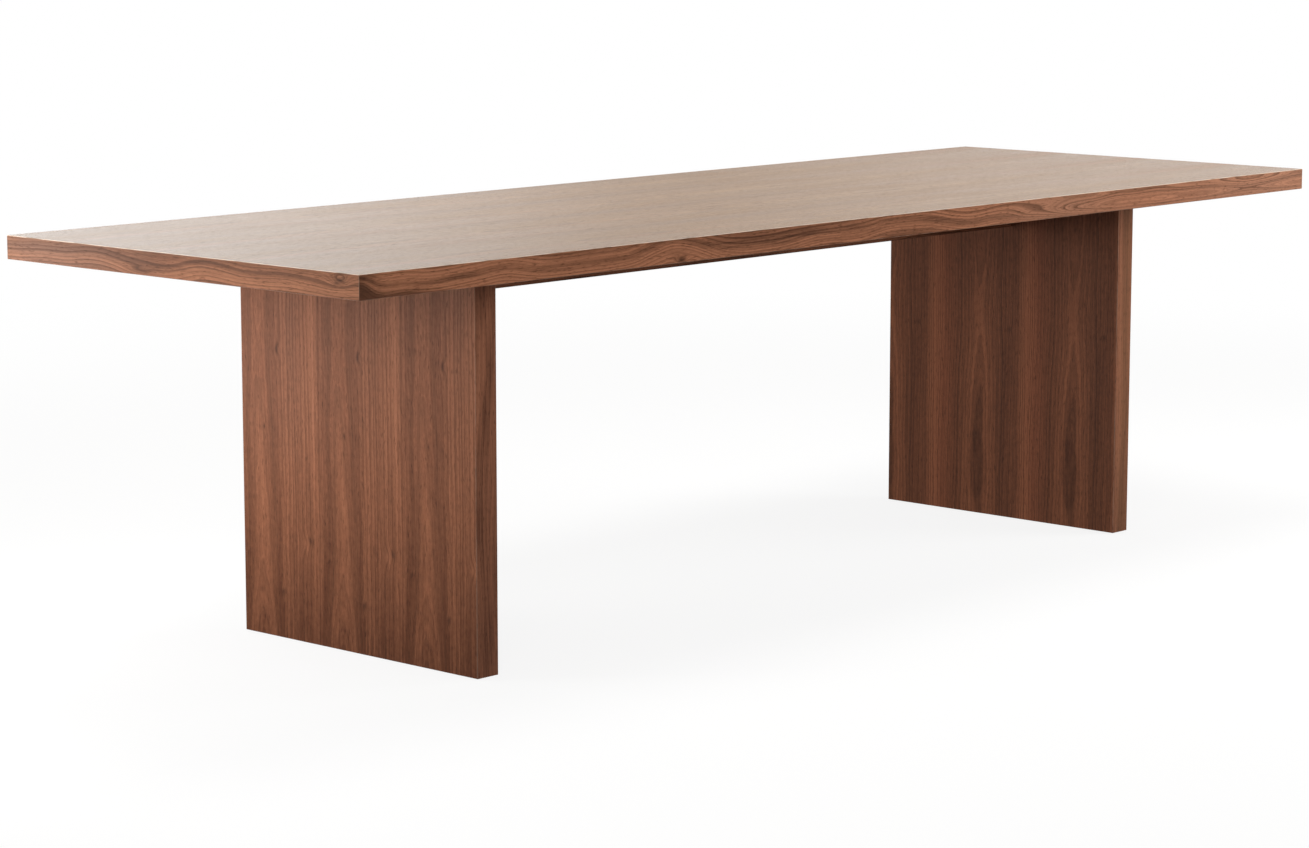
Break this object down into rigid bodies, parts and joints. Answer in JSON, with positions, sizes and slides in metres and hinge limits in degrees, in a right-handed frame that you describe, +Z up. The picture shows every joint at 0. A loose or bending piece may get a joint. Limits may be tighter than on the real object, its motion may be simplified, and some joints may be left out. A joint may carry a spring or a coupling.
{
  "type": "dining table",
  "caption": "Long rectangular walnut dining table: a thick slab top on wide inset panel legs, tied by a beam under the middle, with levelling feet.",
  "frame": {"origin": "on the floor, under the middle of the top", "axes": "+X along the table's length, +Y across it to the rear long side, +Z up"},
  "size_m": [2.7, 0.9, 0.742],
  "materials": {
    "walnut_veneer": "satin lacquer",
    "walnut_solid": "satin lacquer",
    "core_board": "raw board",
    "beech_dowel": "raw wood",
    "bracket_black": "black powder coat",
    "zinc_steel": "zinc plated",
    "pad_plastic": "moulded nylon"
  },
  "bodies": {
    "table": {"beam_bolt_inserts": "zinc_steel", "beam_bolt_washers": "zinc_steel", "beam_bolts": "zinc_steel", "beam_bottom_veneer": "walnut_veneer", "beam_core": "core_board", "beam_end_dowels": "beech_dowel", "beam_end_studs": "zinc_steel", "beam_front_veneer": "walnut_veneer", "beam_rear_veneer": "walnut_veneer", "bracket_leg_bolts": "zinc_steel", "bracket_leg_inserts": "zinc_steel", "bracket_top_bolts": "zinc_steel", "bracket_top_inserts": "zinc_steel", "foot_inserts": "zinc_steel", "half_moon_plates": "zinc_steel", "left_front_bracket": "bracket_black", "left_leg_core": "core_board", "left_leg_foot_strip": "core_board", "left_leg_front_lipping": "walnut_solid", "left_leg_inner_veneer": "walnut_veneer", "left_leg_outer_veneer": "walnut_veneer", "left_leg_rear_lipping": "walnut_solid", "left_rear_bracket": "bracket_black", "leg_dowels": "beech_dowel", "right_front_bracket": "bracket_black", "right_leg_core": "core_board", "right_leg_foot_strip": "core_board", "right_leg_front_lipping": "walnut_solid", "right_leg_inner_veneer": "walnut_veneer", "right_leg_outer_veneer": "walnut_veneer", "right_leg_rear_lipping": "walnut_solid", "right_rear_bracket": "bracket_black", "stud_inserts": "zinc_steel", "stud_nuts": "zinc_steel", "top_core": "core_board", "top_face_veneer": "walnut_veneer", "top_front_lipping": "walnut_solid", "top_left_lipping": "walnut_solid", "top_rear_lipping": "walnut_solid", "top_right_lipping": "walnut_solid", "top_underside_veneer": "walnut_veneer"},
    "left_front_foot": {"left_front_foot_pad": "pad_plastic", "left_front_foot_stem": "zinc_steel"},
    "left_rear_foot": {"left_rear_foot_pad": "pad_plastic", "left_rear_foot_stem": "zinc_steel"},
    "right_front_foot": {"right_front_foot_pad": "pad_plastic", "right_front_foot_stem": "zinc_steel"},
    "right_rear_foot": {"right_rear_foot_pad": "pad_plastic", "right_rear_foot_stem": "zinc_steel"}
  },
  "joints": [
    {"name": "left_front_foot_adjust", "type": "slide", "parent": "table", "child": "left_front_foot", "axis": [0, 0, -1], "range_m": [0, 0.01]},
    {"name": "left_rear_foot_adjust", "type": "slide", "parent": "table", "child": "left_rear_foot", "axis": [0, 0, -1], "range_m": [0, 0.01]},
    {"name": "right_front_foot_adjust", "type": "slide", "parent": "table", "child": "right_front_foot", "axis": [0, 0, -1], "range_m": [0, 0.01]},
    {"name": "right_rear_foot_adjust", "type": "slide", "parent": "table", "child": "right_rear_foot", "axis": [0, 0, -1], "range_m": [0, 0.01]}
  ]
}
